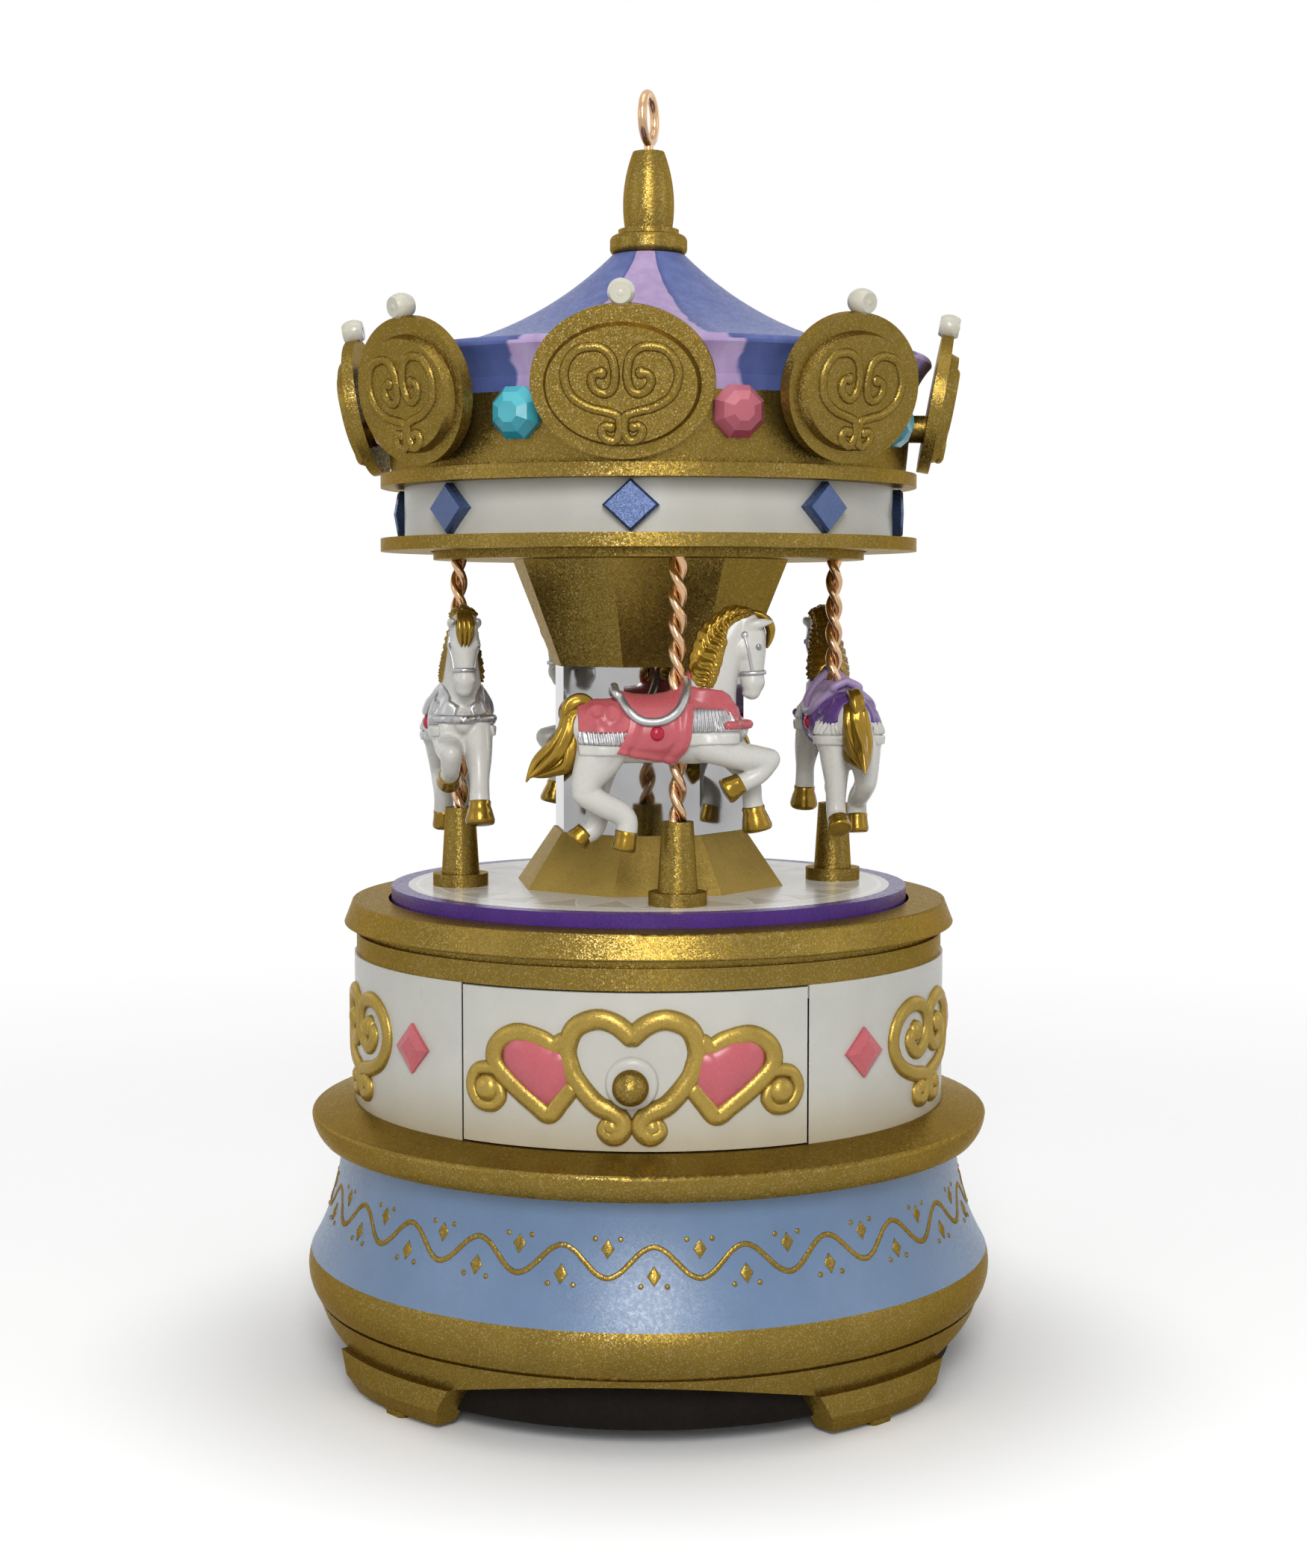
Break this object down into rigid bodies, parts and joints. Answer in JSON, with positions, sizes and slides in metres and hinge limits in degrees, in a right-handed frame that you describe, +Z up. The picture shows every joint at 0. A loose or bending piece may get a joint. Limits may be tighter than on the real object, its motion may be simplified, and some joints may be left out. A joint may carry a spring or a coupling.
{
  "type": "carousel music box",
  "caption": "Carousel music box: a spring movement in a round base with a drawer turns horses on twisted poles about a mirrored column under a fixed canopy.",
  "frame": {"origin": "on the table, under the centre post", "axes": "+Z up along the centre post, -Y towards the drawer's front, +X to the right of the drawer"},
  "size_m": [0.0664, 0.0664, 0.1221],
  "materials": {
    "gold_paint": "metallic gold paint on moulded plastic",
    "pearl_white": "pearl white gloss",
    "blue_satin": "satin blue paint",
    "roof_paint": "blue and lilac pearl paint",
    "purple_paint": "purple metallic paint",
    "pink_paint": "pink enamel",
    "horse_paint": "white enamel with painted tack",
    "pink_stone": "faceted acrylic stone",
    "teal_stone": "faceted acrylic stone",
    "pearl": "pearl lustre",
    "mirror": "silvered mirror",
    "brass_wire": "bright twisted wire",
    "brass": "machined",
    "steel": "turned steel",
    "black_plastic": "moulded, fine grain",
    "rubber": "soft pad"
  },
  "bodies": {
    "base": {"plinth": "gold_paint", "foot_pads": "gold_paint", "cove_band": "blue_satin", "base_lid": "gold_paint", "bottom_cover": "black_plastic", "cover_screws": "steel", "drum_shell": "pearl_white", "drum_diamonds": "pink_paint", "cornice": "gold_paint", "deck": "black_plastic", "center_post": "steel", "canopy_floor": "gold_paint", "fascia": "pearl_white", "fascia_tiles": "blue_satin", "upper_ring": "gold_paint", "crown_band": "gold_paint", "roof": "roof_paint", "medallions": "gold_paint", "pearls": "pearl", "pink_gems": "pink_stone", "teal_gems": "teal_stone", "finial": "gold_paint", "eyelet": "brass_wire", "bedplate": "steel", "bearing_brackets": "brass", "comb": "steel", "comb_screws": "steel", "shaft_bushes": "brass", "drawer_guides": "pearl_white"},
    "turntable": {"turntable_floor": "pearl_white", "turntable_rim": "purple_paint", "turntable_gear": "black_plastic", "turntable_bushes": "brass", "column_core": "black_plastic", "column_skirt": "gold_paint", "mirror_panels": "mirror", "column_funnel": "gold_paint", "ceiling_disc": "gold_paint", "pole_sockets": "gold_paint", "poles": "brass_wire", "horse_front": "horse_paint", "horse_right": "horse_paint", "horse_back": "horse_paint", "horse_left": "horse_paint"},
    "drawer": {"drawer_front": "pearl_white", "drawer_tray": "pearl_white", "drawer_knob": "gold_paint", "knob_boss": "pearl_white", "drawer_hearts": "pink_paint"},
    "drive_shaft": {"drive_shaft": "steel", "drive_pinion": "brass", "shaft_gear": "brass"},
    "spring_barrel": {"spring_barrel": "brass", "mainspring": "steel"},
    "pin_cylinder": {"pin_cylinder": "brass", "cylinder_pins": "steel", "cylinder_gears": "brass"},
    "governor": {"governor_fan": "brass"},
    "winding_key": {"winding_arbor": "steel", "winding_key": "brass"}
  },
  "joints": [
    {"name": "turntable_spin", "type": "hinge", "parent": "base", "child": "turntable", "pos_m": [0, 0, 0.0463], "axis": [0, 0, 1], "continuous": true},
    {"name": "drive_shaft_spin", "type": "hinge", "parent": "base", "child": "drive_shaft", "pos_m": [0, 0.016, 0.025], "axis": [0, 0, 1], "continuous": true},
    {"name": "barrel_spin", "type": "hinge", "parent": "base", "child": "spring_barrel", "pos_m": [-0.01152, 0.00736, 0.013], "axis": [0, 0, 1], "continuous": true},
    {"name": "cylinder_spin", "type": "hinge", "parent": "base", "child": "pin_cylinder", "pos_m": [0.008, 0.00736, 0.01965], "axis": [1, 0, 0], "continuous": true},
    {"name": "governor_spin", "type": "hinge", "parent": "base", "child": "governor", "pos_m": [0.018, 0.01336, 0.01965], "axis": [1, 0, 0], "continuous": true},
    {"name": "drawer_slide", "type": "slide", "parent": "base", "child": "drawer", "axis": [0, -1, 0], "range_m": [0, 0.016]},
    {"name": "winding_key_turn", "type": "hinge", "parent": "base", "child": "winding_key", "pos_m": [-0.01152, 0.00736, 0.005], "axis": [0, 0, 1], "range_deg": [0, 1080]}
  ],
  "couplings": [
    {"joint": "drive_shaft_spin", "follows": "turntable_spin", "ratio": -3},
    {"joint": "barrel_spin", "follows": "turntable_spin", "ratio": 1},
    {"joint": "cylinder_spin", "follows": "turntable_spin", "ratio": 3},
    {"joint": "governor_spin", "follows": "turntable_spin", "ratio": -6}
  ]
}
